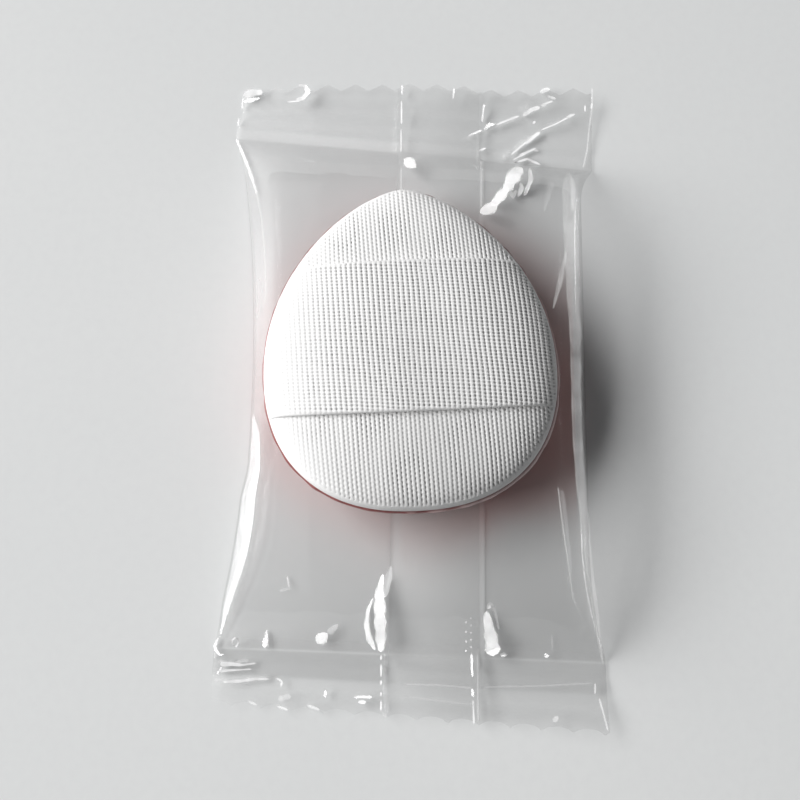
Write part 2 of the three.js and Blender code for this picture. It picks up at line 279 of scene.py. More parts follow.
def place_puff(points):
    """Puff coordinates to the frame's."""
    x, y, z = points.T
    c, s = cos(PUFF_TURN), sin(PUFF_TURN)
    return np.stack([PUFF_CENTRE[0] + c * x - s * y, PUFF_CENTRE[1] + s * x + c * y, z], -1)


# Ribbed weave

class Weave:
    """Relief of a ribbed plain weave: thick ribs along the puff, thin threads across them."""

    def __init__(self, rib, thread, depth, lean, stagger, seed):
        self.rib, self.thread, self.depth = rib, thread, depth
        self.lean, self.stagger = lean, stagger
        self.drift = Waves(seed, 9)
        self.uneven = Waves(seed + 1, 1.6)
        self.slub = Waves(seed + 2, 5)

    def __call__(self, x, y):
        """(height, hole shade) at puff coordinates; the hole shade is 1 in the holes between the threads,
        where the cloth's colour is darkened as painted shade.
        """
        c, s = cos(self.lean), sin(self.lean)
        across = (x * c + y * s) / self.rib + 0.05 * self.drift(x, y)
        along = (y * c - x * s) / self.thread + 0.05 * self.drift(y + 50, x) + 0.035 * self.uneven(x, y)
        number = np.floor(across)
        local = 2 * (across - number - 0.5)
        rib = np.sqrt(np.clip(1 - local ** 2, 0, 1)) ** 0.85
        gap = number + (local > 0)
        shift = 0.5 * self.stagger * gap
        bar = 0.5 + 0.5 * np.cos(2 * pi * (along + shift))
        crest = np.cos(2 * pi * (along + 0.5 * self.stagger * number + 0.25))
        openness = (1 - rib) * (1 - bar) ** 1.2
        size = 1 + 0.03 * self.slub(x + 9 * number, y * 0.3)
        height = rib * size + (1 - rib) * 0.8 * bar - 0.5 * openness + 0.2 * rib * crest
        # Relief and the painted shade in the holes both fade on the lit left and grow on the shaded right.
        relief_and_shade = 0.3 + 0.75 * ease(x, -14, -6) + 0.4 * ease(x, 3, 12)
        return self.depth * (height - 1) * relief_and_shade, openness * relief_and_shade


RIB_LEAN = radians(2.5)
BACK_WEAVE = Weave(0.46, 0.47, 0.165, RIB_LEAN, 1, SEED)
BAND_WEAVE = Weave(0.525, 0.385, 0.17, RIB_LEAN, 0.35, SEED + 10)
FLAT_RIM = 0.5  # the last stretch of cloth, which the weld presses smooth


def rim_fade(x, y, spread):
    """From 0 on the outline to 1 where the cloth has its full relief."""
    distance = (1 - spread) * np.hypot(x, y) / np.maximum(spread, 1e-6)
    return ease(distance, 0.1, FLAT_RIM)


def band_edges(x):
    """The band's lower and upper edges: the lower one bows a little towards the heel."""
    bow = 0.35 * (1 - (x / HALF_WIDTH) ** 2)
    return BAND_BOTTOM - bow, BAND_TOP + 0.15 * bow


def soft_dimples(x, y):
    """Broad hollows and swellings that the foam's own unevenness leaves in the back."""
    return 0.1 * Waves(SEED + 20, 13, 8)(x, y)


# Pieces of the puff

def back_cloth():
    """The ribbed cloth over the back: a grid along its ribs, then rings out to the weld."""
    step_x = BACK_WEAVE.rib / 6
    step_y = BACK_WEAVE.thread / 5
    lean = tan(RIB_LEAN)
    hidden_low, hidden_high = BAND_BOTTOM + 1, BAND_TOP - 1
    lines_y = np.concatenate([
        np.arange(-HEEL_REACH, hidden_low, step_y),
        np.arange(hidden_low, hidden_high, 0.8),
        np.arange(hidden_high, TIP_REACH, step_y),
    ])
    columns = np.arange(-HALF_WIDTH - 1, HALF_WIDTH + 1, step_x)
    x = columns[None, :] - lean * lines_y[:, None]
    y = np.repeat(lines_y[:, None], len(columns), axis=1)
    spread = spread_at(x, y)
    edge = 0.972
    quads = grid_faces(*x.shape)
    kept = quads[(spread.ravel() <= edge)[quads].all(axis=1)]
    used, kept = np.unique(kept, return_inverse=True)
    kept = kept.reshape(-1, 4)
    x, y, spread = (values.ravel()[used] for values in (x, y, spread))

    sides = np.concatenate([kept[:, [i, (i + 1) % 4]] for i in range(4)])
    keys = np.sort(sides, axis=1)
    _, where, uses = np.unique(keys, axis=0, return_index=True, return_counts=True)
    rim_sides = sides[where[uses == 1]]
    rim = np.unique(rim_sides)
    grow = edge / spread[rim]
    x[rim], y[rim], spread[rim] = x[rim] * grow, y[rim] * grow, edge

    height, openness = BACK_WEAVE(x, y)
    fade = rim_fade(x, y, spread)
    low, high = band_edges(x)
    under_band = between(y, low + 0.5, low + 1.2, high - 1.2, high - 0.5)
    z = CLOTH_Z + dome(spread, BACK_CROWN - CLOTH_SINK) + soft_dimples(x, y) * fade * 0.5
    z = z + height * fade * (1 - under_band) - 0.3 * under_band * fade
    points = [np.stack([x, y, z], -1)]
    hole_shade_values = [openness * fade]
    faces = [kept]

    a, b = np.searchsorted(rim, rim_sides.T)
    before = rim
    count = len(used)
    for ring in (0.978, 0.984, 0.99, 0.994, 0.997, 0.999, 1):
        rx, ry = x[rim] * ring / edge, y[rim] * ring / edge
        rz = CLOTH_Z + dome(np.full(len(rim), ring), BACK_CROWN - CLOTH_SINK)
        points.append(np.stack([rx, ry, rz], -1))
        hole_shade_values.append(np.zeros(len(rim)))
        now = np.arange(count, count + len(rim))
        faces.append(np.stack([before[b], before[a], now[a], now[b]], -1))
        before = now
        count += len(rim)
    points = place_puff(np.concatenate(points))
    return new_mesh("back_cloth_weave", points, np.concatenate(faces), openness=hole_shade_values)


def finger_band():
    """The ribbon across the back, hemmed at both long edges, its ends running down into the weld."""
    sections = int(2 * HALF_WIDTH / BAND_WEAVE.rib * 6.6)
    inner = np.linspace(-0.965, 0.965, sections)
    outer = np.array([0.975, 0.984, 0.991, 0.996, 0.999, 1])
    shares = np.concatenate([-outer[::-1], inner, outer])
    roll = 0.22
    rows = np.arange(0, 1 + 1e-9, BAND_WEAVE.thread / 5 / (BAND_TOP - BAND_BOTTOM))
    half_turn = np.linspace(0, pi, 7)
    around = [(t, 0, 0) for t in rows]
    around += [(1, roll * sin(turn), roll * (cos(turn) - 1)) for turn in half_turn[1:]]
    around += [(t, 0, -2 * roll) for t in (0.9, 0.5, 0.1)]
    around += [(0, -roll * sin(turn), roll * (cos(turn) - 1)) for turn in half_turn[:0:-1]]
    points, hole_shade_values = [], []
    for t, out, sink in around:
        x = HALF_WIDTH * shares
        low, high = band_edges(x)
        y = low + roll + (high - low - 2 * roll) * t + out
        x = half_width_at(y) * shares
        spread = spread_at(x, y)
        height, openness = BAND_WEAVE(x, y)
        fade = rim_fade(x, y, spread)
        edge_fade = ease(np.minimum(y - low, high - y), 0, 0.5)
        hem = 0.05 * ease(high - y, 1, 0.3)
        facing_up = 1 if sink == 0 else 0.3
        z = CLOTH_Z + dome(spread, BACK_CROWN) + soft_dimples(x, y) * fade * 0.5 + hem * fade
        z = z + height * fade * facing_up * (0.45 + 0.55 * edge_fade) + sink * fade
        points.append(np.stack([x, y, z], -1))
        hole_shade_values.append(openness * fade * facing_up)
    ends = np.arange(len(around)) * len(shares)
    faces = [*grid_faces(len(around), len(shares), closes=True), ends, (ends + len(shares) - 1)[::-1]]
    return new_mesh("finger_band_weave", place_puff(np.concatenate(points)), faces, openness=hole_shade_values)


def ring_shell(name, profile, steps, bulge=None):
    """A body of rings of the outline. The profile lists (inset, spread, z) from one end to the other."""
    angle = np.linspace(0, 2 * pi, steps, endpoint=False)
    points = []
    for inset, spread, z in profile:
        x, y = outline(angle, inset)
        out = 1 + (bulge(x, y, z) / np.hypot(x, y) if bulge else 0)
        points.append(np.stack([x * spread * out, y * spread * out, np.full(steps, z)], -1))
    ring = np.arange(steps)
    faces = [*grid_faces(len(profile), steps, wraps=True), ring[::-1], ring + (len(profile) - 1) * steps]
    return new_mesh(name, place_puff(np.concatenate(points)), faces)


def shoulder(rim_z, height, power, count, inset, smallest=0.04):
    """Rings from the rim towards the middle along a rounded shoulder."""
    spreads = np.cos(np.linspace(0, acos(smallest), count))
    return [(inset, s, rim_z + height * (1 - s ** power) ** (1 / power)) for s in spreads]


PIPING_HIGHLIGHT_WAY = radians(-40)  # where the weld's outer edge is painted pale: a painted highlight where it catches light
SKIN_BULGE = 0.35
BULGE_WAY = radians(-18)  # towards the lower right, where the skin is squeezed out


def skin_bulge(x, y, z):
    """How far the skin stands out of its outline at mid height."""
    level = np.clip((WELD_Z - z) / (WELD_Z - FACE_Z), 0, 1)
    side = 0.5 + 0.5 * np.cos(np.arctan2(y / HEEL_REACH, x / HALF_WIDTH) - BULGE_WAY)
    return SKIN_BULGE * (0.1 + 0.9 * side ** 4) * np.sin(pi * level ** 0.9)


def face_skin():
    """The pink cup: outside from the weld down under the puff, inside back up to the weld."""
    height = -(WELD_Z - 0.05 - FACE_Z)
    outer = shoulder(WELD_Z - 0.05, height, FACE_POWER, 34, 0)
    inner = shoulder(WELD_Z - 0.05, height + SKIN_GAUGE, FACE_POWER, 20, SKIN_GAUGE)
    return ring_shell("face_skin_soft", outer[::-1] + inner, 220, skin_bulge)


def foam_core():
    """The foam cushion between the skin and the barrier film."""
    inset = 1.08
    under = shoulder(WELD_Z, -(WELD_Z - FACE_Z - SKIN_GAUGE - LAYER_GAP), FACE_POWER, 20, inset)
    over = shoulder(CLOTH_Z, 2.1, CROWN_POWER, 20, inset)
    return ring_shell("foam_core_soft", under[::-1] + over, 160)


def edge_weld():
    """The fused bead all round, where the cloth's and the face's edges are one."""
    steps, turns = 720, 12
    angle = np.linspace(0, 2 * pi, steps, endpoint=False)
    x, y = outline(angle)
    dx = np.roll(x, -1) - np.roll(x, 1)
    dy = np.roll(y, -1) - np.roll(y, 1)
    length = np.hypot(dx, dy)
    nx, ny = dy / length, -dx / length
    run = np.cumsum(np.hypot(np.diff(x, prepend=x[-1]), np.diff(y, prepend=y[-1])))
    uneven = 0.03 * Waves(SEED + 30, 2.2)(run, run * 0)
    lower_right = (0.5 + 0.5 * np.cos(np.arctan2(y / HEEL_REACH, x / HALF_WIDTH) - PIPING_HIGHLIGHT_WAY)) ** 3
    reach = 0.24 + 0.07 * lerp(-1, 1, ease(y, -HEEL_REACH, TIP_REACH)) + 0.16 * lower_right
    rows, pale = [], []
    for turn in np.linspace(0, 2 * pi, turns, endpoint=False):
        out = -0.4 + (0.4 + reach + uneven) * cos(turn)
        up = 0.26 * sin(turn)
        rows.append(np.stack([x + nx * out, y + ny * out, WELD_Z + 0.24 + up + 0.4 * uneven], -1))
        # Painted highlight: the bead's outer edge paler towards the lower right.
        pale.append(lower_right * ease(out, 0.15, 0.22))
    faces = grid_faces(turns, steps, wraps=True, closes=True)
    return new_mesh("edge_weld_bead", place_puff(np.concatenate(rows)), faces, pale=pale)


# Sachet

def swell(distance, run):
    return 1 - (1 - np.clip(distance / run, 0, 1)) ** SWELL_POWER


def lerp(a, b, share):
    return a + (b - a) * share


def knots(y, places, values, blur=1.2):
    """A curve through knots, with its corners rounded off."""
    return sum(np.interp(y + step, places, values) for step in (-blur, -blur / 2, 0, blur / 2, blur)) / 5


# The flat facet along the left edge of the under ply, which mirrors the window
FACET_PLACES = (-28, -27.2, -24.5, -21, -17.8, -14.7, -10.3, -7, -4.5, -3.2, -2.2)
FACET_WIDTHS = (0.2, 0.45, 1, 1.55, 1.9, 2, 1.7, 1.45, 1.15, 0.5, 0)
FACET_SLOPE = 0.45
GLINT = 1.7  # gloss of a facet that mirrors the window, against plain film
STRIP_LIFT = 0.03
STRIP_STEP = 0.22
MOST_STEPS = 48
PATCH_LENGTH = 2.4  # a shorter strip is one plane facet,
FACET_LENGTH = 10  # and so is one this long if it is as white and as well aimed as this
FACET_WHITENESS = 0.6
FACET_AIM = 0.55
FACET_CLEARANCE = 0.1
RAISED_Z = 1.2  # where the top ply is higher, a facet stands on the under ply
STEP_CLEARANCE = 0.1
STEP_RUN = 0.35


def on_fin(x):
    """How high a ply runs above the table at x, because of the fin under it."""
    foot = STEP_CLEARANCE + STEP_RUN
    up = ease(x, FIN_ROOT - foot, FIN_ROOT - STEP_CLEARANCE)
    down = ease(x, FIN_EDGE + STEP_CLEARANCE, FIN_EDGE + foot)
    return LOW_PLY_Z + 2 * FIN_PLY * (up - down)


# Crumpled lines in the crimped ends: ends, half width, roughness of the crumple, whiteness, which paints
# their highlights
CREASES = [
    (5.2, 29.5, 12.4, 33.1, 0.17, 0.09, 0.15),
    (12, 33.2, 13.3, 34.5, 0.42, 0.13, 0.15),
    (12.9, 33, 15.6, 34.4, 0.2, 0.1, 0.15),
    (9.8, 27.5, 13.4, 30.6, 0.32, 0.13, 0.19),
    (13.6, 30.7, 17.3, 32.7, 0.13, 0.07, 0.18),
    (9.9, 28.3, 13.6, 27.6, 0.5, 0.12, 0.1),
    (-20.2, -29.4, -15.9, -29.3, 0.2, 0.08, 0.28),
    (-20.2, -30.2, -16.6, -30.1, 0.15, 0.07, 0.24),
    (-20, -31.2, -14.4, -30.9, 0.2, 0.09, 0.28),
    (-20.35, -28.9, -19.6, -27.8, 0.16, 0.06, 0.14),
    (-8.3, -32.4, -7.9, -31.7, 0.12, 0.1, 0.14),
    (-4.6, -33, -2.9, -32.6, 0.18, 0.14, 0.15),
    (-14.4, -33.6, -12.6, -34.3, 0.12, 0.06, 0.07),
    (-10.2, -33.4, -8.6, -34.2, 0.12, 0.06, 0.07),
]

# Painted highlights and pale reflections: white lines and patches on the film at its folds, creases, pleats
# and seals, as the camera sees them
# against the table: whiteness, half widths spread along it (or one for all), then x and y of the points along
# it, all in hundredths
STROKES = [
    # Head end, left
    (97, (9, 17, 18, 17, 9), -2102, 2976, -2050, 2875, -1971, 2687, -1892, 2488, -1825, 2278),
    (16, 9, -1825, 2278, -1753, 1972, -1697, 1488, -1665, 1012),
    (70, 10, -2046, 3503, -2051, 3360),
    (70, 10, -2081, 3244, -2087, 3142),
    # Curled teeth
    (92, (49, 54, 38), -2048, 3528, -1944, 3569, -1815, 3584),
    (85, (22, 28, 15), -2032, 3451, -1939, 3478, -1846, 3506),
    (90, (24, 32, 30, 28, 16), -1422, 3487, -1340, 3514, -1284, 3592, -1322, 3670, -1405, 3681),
    (55, 10, -1526, 3459, -1374, 3474),
    # Fin in the head end
    (60, 11, -177, 3701, -175, 3571),
    (50, 10, -180, 3493, -176, 3197),
    (40, 9, -180, 3133, -176, 2842),
    (22, 9, -173, 2641, -168, 2366),
    (60, 10, 437, 3671, 426, 3529),
    (60, 11, 790, 3470, 766, 3238),
    (55, 14, 731, 2869, 812, 2908),
    (14, 8, 754, 2781, 753, 2159),
    # Creases at the head end, right
    (65, 12, 603, 3057, 766, 3136),
    (80, (17, 24, 15), 790, 3136, 848, 3201, 918, 3215),
    (80, (11, 16, 15), 930, 3202, 1071, 3268, 1200, 3322),
    (92, (22, 32, 24), 1247, 3322, 1342, 3401, 1448, 3441),
    (90, (19, 17, 9), 1460, 3454, 1531, 3494, 1602, 3521),
    (95, (26, 37, 26), 1451, 3622, 1510, 3662, 1569, 3676),
    (30, 17, 1533, 3585, 1638, 3548),
    (85, (10, 15, 17), 1102, 2824, 1208, 2927, 1279, 2991),
    (92, (24, 32, 17), 1255, 2965, 1349, 3043, 1443, 3121),
    (70, 13, 1363, 3222, 1387, 3260),
    (85, (8, 10, 11), 1456, 3146, 1632, 3226, 1762, 3305),
    (92, (9, 26, 9), 1739, 3292, 1798, 3331, 1857, 3358),
    (85, (9, 16, 11), 1125, 2761, 1254, 2839, 1394, 2917),
    (88, (9, 19, 13), 1136, 2724, 1288, 2776, 1449, 2704),
    (75, (6, 13, 9), 1195, 2825, 1347, 2891, 1428, 2880),
    # Folded pleat at the tip: its lit patches
    (95, (50, 85, 95, 60), 1045, 2361, 1095, 2498, 1160, 2605, 1235, 2660),
    (93, (45, 70, 55), 879, 2185, 972, 2298, 1053, 2410),
    (97, (40, 85, 50), 741, 2097, 833, 2141, 937, 2198),
    (85, (20, 34, 20), 1320, 2664, 1330, 2514, 1246, 2314),
    (70, (17, 32, 19), 1205, 2480, 1226, 2418, 1179, 2301),
    (30, (26, 32, 22), 1087, 2386, 1121, 2300, 1156, 2387),
    (96, (54, 76, 54), -140, 2754, -69, 2705, 1, 2650),
    (8, (43, 37, 11), 1573, 2493, 1524, 2331, 1475, 2133),
    (20, 9, 2065, 3697, 2059, 3464, 2016, 3155, 1987, 2901, 1935, 2674),
    (85, 14, 2060, 3503, 2047, 3425),
    (50, 10, 1977, 3475, 1975, 3385),
    # Ribbon along the right wall and its two edges: the wall's pale reflection, painted
    (19, (49, 81, 78, 69, 67, 58, 56, 57, 50, 41, 32, 22, 9), 1760, 2621, 1768, 2459, 1775, 1663, 1785, 1067,
     1805, 716, 1798, 140, 1796, -423, 1822, -973, 1855, -1404, 1887, -1828, 1948, -2348, 1976, -2655, 2011,
     -2897),
    (8, 9, 1692, 2458, 1703, 1662, 1723, 1066, 1746, 715, 1748, 139, 1749, -423, 1774, -974, 1815, -1405,
     1856, -1829, 1925, -2348, 1964, -2655, 2012, -2897),
    (8, 9, 1845, 2460, 1846, 1664, 1846, 1068, 1864, 716, 1847, 141, 1843, -422, 1869, -972, 1894, -1404,
     1918, -1828, 1970, -2348, 1987, -2654, 2010, -2897),
    # Doubled film beside the ribbon
    (16, 9, 1577, -1053, 1613, -1429, 1660, -1790, 1713, -2248),
    (8, (37, 37, 22), 1609, -1085, 1645, -1461, 1698, -1989),
    (15, (15, 37, 10), 1717, 1638, 1643, 1289, 1558, 957),
    # Tail end, left
    (90, (9, 14, 13, 8), -2001, -2697, -2032, -2789, -1981, -2869, -1930, -2858),
    (50, 9, -1841, -2765, -1854, -2715, -1813, -2684, -1780, -2724, -1808, -2785, -1841, -2765),
    (92, (28, 24, 13, 8), -1966, -2960, -1841, -2958, -1737, -2966, -1592, -2944),
    (85, (19, 11, 6), -1972, -3030, -1796, -3017, -1631, -3005),
    (85, 10, -1991, -3060, -1972, -3030),
    (92, (14, 18, 13, 9), -1925, -3139, -1749, -3127, -1585, -3104, -1450, -3102),
    (45, 11, -1378, -3091, -1315, -3120, -1323, -3180),
    (60, 11, -1943, -2989, -1972, -3030),
    # Tail end, pleats
    (95, (37, 29, 8), -1511, -2791, -1501, -2709, -1497, -2607),
    (95, (54, 78, 47), -966, -2731, -915, -2680, -865, -2628),
    (25, (43, 39, 11), -854, -2638, -793, -2576, -752, -2534),
    (97, (32, 58, 71, 67, 45, 11), -296, -2812, -304, -2690, -313, -2486, -322, -2301, -320, -2156, -291,
     -2009),
    (90, (17, 37, 28, 19, 9), -359, -2793, -425, -2672, -454, -2530, -441, -2385, -392, -2261),
    (30, (32, 50, 15), -276, -2259, -237, -2071, -208, -1924),
    (97, (91, 80, 58, 28), 874, -2834, 854, -2672, 823, -2520, 803, -2376),
    (30, (17, 30, 19, 11), 808, -2356, 850, -2303, 892, -2385, 933, -2569),
    (90, (22, 18), 942, -2823, 1015, -2822),
    (95, (28, 19), 1400, -2816, 1452, -2825),
    (15, 6, 1486, -2611, 1484, -2764),
    (30, 8, -1306, -2046, -1280, -2161),
    (15, (17, 13), -1384, -2204, -1259, -2171),
    # Tail end, lines and flecks in the crimp
    (60, 10, -296, -2842, -295, -2893),
    (60, 10, -294, -2933, -291, -3064),
    (60, 10, -291, -3094, -290, -3144),
    (60, 10, -289, -3214, -288, -3253),
    (60, 10, -287, -3293, -285, -3402),
    (92, (14, 13, 11), 646, -2807, 646, -2918, 656, -3049),
    (85, 13, 651, -3159, 661, -3248),
    (40, 10, 661, -3278, 671, -3515),
    (14, 8, 708, -2827, 712, -3495),
    (75, 12, 588, -2798, 588, -2774),
    (65, 12, 588, -2702, 588, -2677),
    (58, 12, 588, -2605, 588, -2581),
    (39, 12, 588, -2508, 588, -2483),
    (57, 10, 640, -2757, 640, -2737),
    (51, 10, 640, -2684, 640, -2663),
    (46, 10, 640, -2610, 640, -2590),
    (30, 10, 640, -2537, 640, -2516),
    (26, 10, 640, -2463, 640, -2443),
    (90, (15, 22), -867, -3203, -860, -3272),
    (80, (11, 13, 19), -566, -3268, -483, -3266, -380, -3265),
    (60, (15, 24), -523, -3317, -441, -3315),
    (22, (37, 28), -1349, -3300, -1216, -3268),
    (30, 13, -1657, -3324, -1563, -3363),
    (35, 12, -1356, -3369, -1241, -3407),
    (35, 13, -1048, -3355, -912, -3402),
    (25, (28, 24), 1482, -3483, 1534, -3423),
    (22, 10, -42, -3130, 320, -3134, 651, -3159),
    (17, 10, 733, -3148, 1354, -3128, 1892, -3090),
    (12, 11, 11, -3259, 321, -3293, 682, -3327),
    (35, 10, 1923, -3089, 1920, -3199),
    (28, 10, 1960, -3238, 1998, -3376, 2044, -3562),
]

# Soft bars of the crimp: distance from the seal's inner edge, half width, and height
CRIMP_BARS = [(0.6, 0.45, 0.05), (1.5, 0.22, -0.05), (2.3, 0.4, 0.03), (3.35, 0.35, -0.06), (4.35, 0.2, 0.06),
              (5.3, 0.25, -0.03)]


def glint_gradient(x, y):
    """The uphill direction and slope of a facet at (x, y) that mirrors the window to the camera."""
    here = Vector((x, y, 0))
    window = WINDOW_WAY * WINDOW_DISTANCE / MM
    half = (Vector(EYE) - here).normalized() + (window - here).normalized()
    gradient = np.array([-half.x, -half.y]) / half.z
    slope = float(np.hypot(*gradient))
    return gradient / slope, slope


def crease(x, y, x0, y0, x1, y1, half, rough, white):
    """(height, whiteness) of a crumpled line between two points; the whiteness is a painted highlight."""
    length = np.hypot(x1 - x0, y1 - y0)
    way_x, way_y = (x1 - x0) / length, (y1 - y0) / length
    t = ((x - x0) * way_x + (y - y0) * way_y) / length
    side = (y - y0) * way_x - (x - x0) * way_y + 0.25 * half * np.sin(11 * t + y0)
    mask = np.exp(-(side / half) ** 2) * between(t, -0.03, 0.06, 0.9, 1.03)
    seed = int(abs(x0) * 10 + abs(y1) * 100)
    crumple = Waves(seed, 0.75, 10)(x, y)
    broken = 0.25 + 0.75 * ease(Waves(seed + 1, 0.9, 8)(x, y), -0.5, 0.5)
    return mask * (rough * (0.8 + crumple)), white * mask * broken


def against_table(x, y, z):
    """Where the camera sees a point against the table."""
    share = EYE[2] / (EYE[2] - z)
    return EYE[0] + (x - EYE[0]) * share, EYE[1] + (y - EYE[1]) * share


def strip_course(number, half, course):
    """A stroke's length and its stations: distance, place, half width and sideways direction."""
    path, half = np.array(course).reshape(-1, 2) / 100, np.atleast_1d(half) / 100
    run = np.concatenate([[0], np.cumsum(np.hypot(*np.diff(path, axis=0).T))])
    steps = int(min(MOST_STEPS, max(4, run[-1] / STRIP_STEP)))
    t = np.linspace(0, run[-1], steps + 1)
    line = np.stack([np.interp(t, run, places) for places in path.T], -1)
    wide = np.interp(t, run if len(half) == len(path) else np.linspace(0, run[-1], len(half)), half)
    ends = np.clip(np.minimum(t, run[-1] - t) / np.maximum(wide, 0.08), 0, 1)
    wide = wide * np.sqrt(ends * (2 - ends)) * (1 + 0.12 * np.sin(4 * t + number)) + 0.015
    way = np.gradient(line, axis=0)
    way /= np.hypot(way[:, 0], way[:, 1])[:, None]
    return run[-1], t, line, wide, np.stack([-way[:, 1], way[:, 0]], -1)


def height_under(spots, seen, z):
    """The film's height at each spot, from the points around it as seen against the table."""
    off = ((spots[:, None, :] - seen[None, :, :]) ** 2).sum(-1)
    near = np.argpartition(off, 5, axis=1)[:, :5]
    weight = 1 / (np.take_along_axis(off, near, 1) + 1e-4)
    return ((weight * z[near]).sum(1) / weight.sum(1)).reshape(-1, 4)


def white_strips(film, first):
    """Painted highlights: narrow white strips just over the top ply, one for each of STROKES, tilted to
    mirror the window where their
    course allows, for a real glint as well: points, faces, whiteness and gloss."""
    seen = np.stack(against_table(*film.T), -1)
    points, faces, white, gloss = [], [], [], []
    across = np.array([-1, -0.65, 0.65, 1])
    inner = np.array([0, 1, 1, 0])
    for number, (whiteness, half, *course) in enumerate(STROKES):
        whiteness = whiteness / 100
        length, t, line, wide, side = strip_course(number, half, course)
        spots = (line[:, None, :] + side[:, None, :] * (wide[:, None] * across)[:, :, None]).reshape(-1, 2)
        z = height_under(spots, seen, film[:, 2])
        gradient, slope = glint_gradient(*line[(len(line) - 1) // 2])
        aim = side @ gradient
        aimed = whiteness > FACET_WHITENESS and np.abs(aim).mean() > FACET_AIM
        if length < PATCH_LENGTH or length < FACET_LENGTH and aimed:
            facing = 1
            plane = slope * ((spots - spots.mean(axis=0)) @ gradient).reshape(-1, 4)
            low = FACET_CLEARANCE - plane.min()
            z = plane + (on_fin(spots[:, 0]).max() + low if z.mean() > RAISED_Z else max(z.mean(), low))
        else:
            facing = np.abs(aim)[:, None]
            z = z.mean(axis=1)[:, None] + slope * (wide * aim)[:, None] * across
        z = (z + STRIP_LIFT).ravel()
        eye = np.array(EYE[:2])
        points.append(np.column_stack([eye + (spots - eye) * (1 - z / EYE[2])[:, None], z]))
        faces.append(grid_faces(len(line), 4, first))
        first += len(z)
        # Whiteness of the painted highlight, a little uneven along the strip.
        highlight_white = np.clip(whiteness * (1 + 0.1 * np.sin(2.7 * t + 1.7 * number)), 0, 0.98)[:, None]
        bright = facing * ease(whiteness, 0.5, 0.9)
        white.append((highlight_white * (1 - 0.55 * bright) * inner).ravel())
        gloss.append((GLINT * bright * highlight_white * inner).ravel())
    return [np.concatenate(part) for part in (points, faces, white, gloss)]


# Painted pink bounce light: the pink face's light painted as a pink cast on the film under it, strongest in
# the shade on the right. Direction from the puff in degrees, strength, and reach
PINK_BOUNCE_WAYS = (0, 30, 60, 90, 180, 210, 240, 270, 300, 330)
PINK_BOUNCE_SHARES = (0.95, 0.35, 0.25, 0.05, 0.12, 0.2, 0.15, 0.28, 0.6, 1)
PINK_BOUNCE_REACHES = (5, 5, 2.5, 2, 4, 3, 3, 4.5, 2.6, 6.5)


def blush(x, y, part):
    """How much painted pink bounce light from the pink face the under ply shows."""
    px, py = into_puff(x, y)
    spread = spread_at(px, py)
    distance = np.hypot(px, py) * (1 - 1 / np.maximum(spread, 1))
    way = np.degrees(np.arctan2(py / reach_at(py), px / HALF_WIDTH)) % 360
    share = np.interp(way, PINK_BOUNCE_WAYS, PINK_BOUNCE_SHARES, period=360)
    reach = np.interp(way, PINK_BOUNCE_WAYS, PINK_BOUNCE_REACHES, period=360)
    return share * np.exp(-(distance / reach) ** 2) * ((part == 1) | (part == 5) | (part == 6))


def film_rows():
    """y on the centre line of each row across the sachet, its rise, and its share of the way into a seal."""
    ends = TAIL_CUT, TAIL_SEAL, TAIL_SEAL + 10, HEAD_SEAL - 10.5, HEAD_SEAL, HEAD_CUT
    spans = zip(ends, ends[1:], (44, 62, 62, 66, 51))
    y = np.concatenate([*(np.linspace(*span, endpoint=False) for span in spans), [HEAD_CUT]])
    tail_in = np.clip((TAIL_SEAL - y) / (TAIL_SEAL - TAIL_CUT), 0, 1)
    head_in = np.clip((y - HEAD_SEAL) / (HEAD_CUT - HEAD_SEAL), 0, 1)
    tail_part = TAIL_SEAL_RISE * (1 - swell(y - TAIL_SEAL, TAIL_SWELL_RUN))
    head_part = HEAD_SEAL_RISE * (1 - swell(HEAD_SEAL - y, HEAD_SWELL_RUN))
    rise = np.where(tail_in > 0, lerp(TAIL_SEAL_RISE, TAIL_CUT_RISE, tail_in), tail_part)
    rise = rise + np.where(tail_in > 0, 0, head_part)
    rise = np.where(head_in > 0, lerp(HEAD_SEAL_RISE, HEAD_CUT_RISE, head_in), rise)
    return y, rise, tail_in, head_in


def half_top(reach, height, lean, count):
    """Half of the top ply from its edge to its middle: distances inward, and heights above the edge."""
    turn = 0.5 * pi * (0.5 - 0.5 * np.cos(np.linspace(0, pi, 500)))
    share = np.cos(turn) ** (2 / PILLOW_POWER)
    up = height * np.sin(turn) ** (2 / PILLOW_POWER)
    inward = reach * (1 - share) + lean * up * share ** LEAN_POWER
    dx, dz = np.diff(inward), np.diff(up)
    slant = np.arctan2(dz, dx)
    bend = np.abs(np.diff(slant, prepend=slant[0])) * min(1, height / 4) * 4.5
    measure = np.concatenate([[0], np.cumsum(np.hypot(dx, dz) + bend)])
    even = np.linspace(0, measure[-1], count)
    return np.interp(even, measure, inward), np.interp(even, measure, up)


def left_edge(y):
    """How far left the film's foot runs at y."""
    neck = np.minimum(swell(y - TAIL_SEAL, LEFT_TAIL_NECK_RUN), swell(HEAD_SEAL - y, LEFT_HEAD_NECK_RUN))
    slack = EDGE_SLACK * between(y, -27.8, -22.5, -12.5, -8.5)
    return FLAT_WIDTH / 2 - FILM_GAUGE / 2 - neck * (FLAT_WIDTH / 2 - LEFT_WAIST) + slack


